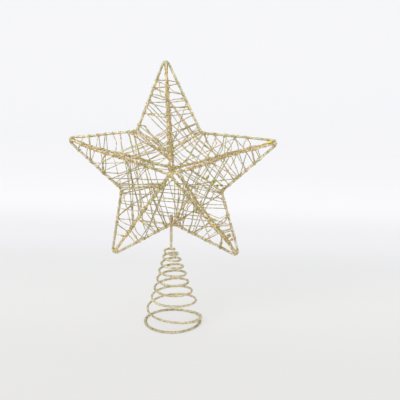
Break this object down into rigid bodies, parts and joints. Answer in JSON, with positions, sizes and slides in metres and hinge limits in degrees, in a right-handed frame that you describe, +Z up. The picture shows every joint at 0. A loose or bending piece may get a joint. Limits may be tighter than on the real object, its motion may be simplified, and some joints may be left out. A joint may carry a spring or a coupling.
{
  "type": "christmas tree topper star",
  "caption": "Open star of glittered gold wire with ridges and windings, on a short stem, standing on a conical coil spring that slips over a tree's top shoot.",
  "frame": {"origin": "on the floor plane, on the axis of the conical spring, midway across the foot turn", "axes": "+Z up along the spring and the stem, -Y out of the star's front, +X to the right seen from the front"},
  "size_m": [0.2018, 0.0578, 0.2648],
  "materials": {
    "glitter_gold_wire": "champagne gold paint under a coat of fine glitter",
    "thin_gold_wire": "thin wire, champagne gold with sparse glitter",
    "plain_gold_wire": "satin champagne gold paint with little glitter",
    "glitter_glue": "set glue full of gold and yellow-green glitter"
  },
  "bodies": {
    "foot": {"foot_turn": "glitter_gold_wire", "foot_bead": "glitter_glue", "coil_spring": "glitter_gold_wire"},
    "star": {"outline_wire": "glitter_gold_wire", "front_ridge_top": "glitter_gold_wire", "front_ridge_right": "glitter_gold_wire", "front_ridge_lower_right": "glitter_gold_wire", "front_ridge_lower_left": "glitter_gold_wire", "front_ridge_left": "glitter_gold_wire", "back_ridge_top": "glitter_gold_wire", "back_ridge_right": "glitter_gold_wire", "back_ridge_lower_right": "glitter_gold_wire", "back_ridge_lower_left": "glitter_gold_wire", "back_ridge_left": "glitter_gold_wire", "tip_bead_top": "glitter_glue", "tip_bead_right": "glitter_glue", "tip_bead_lower_right": "glitter_glue", "tip_bead_lower_left": "glitter_glue", "tip_bead_left": "glitter_glue", "front_apex_bead": "glitter_glue", "back_apex_bead": "glitter_glue", "tie_wire_upper_left": "glitter_gold_wire", "tie_wire_upper_right": "glitter_gold_wire", "tie_wire_right": "glitter_gold_wire", "tie_wire_bottom": "glitter_gold_wire", "tie_wire_left": "glitter_gold_wire", "arm_winding_top": "thin_gold_wire", "arm_winding_right": "thin_gold_wire", "arm_winding_lower_right": "thin_gold_wire", "arm_winding_lower_left": "thin_gold_wire", "arm_winding_left": "thin_gold_wire", "front_web_winding": "thin_gold_wire", "back_web_winding": "thin_gold_wire", "stem_wire": "plain_gold_wire", "stem_bead": "glitter_glue", "stem_binding": "glitter_gold_wire"}
  },
  "joints": [
    {"name": "coil_press", "type": "slide", "parent": "foot", "child": "star", "axis": [0, 0, 1], "range_m": [-0.035, 0], "stiffness_N_per_m": 334, "springref_m": 0.004, "deforming": ["coil_spring"]}
  ]
}
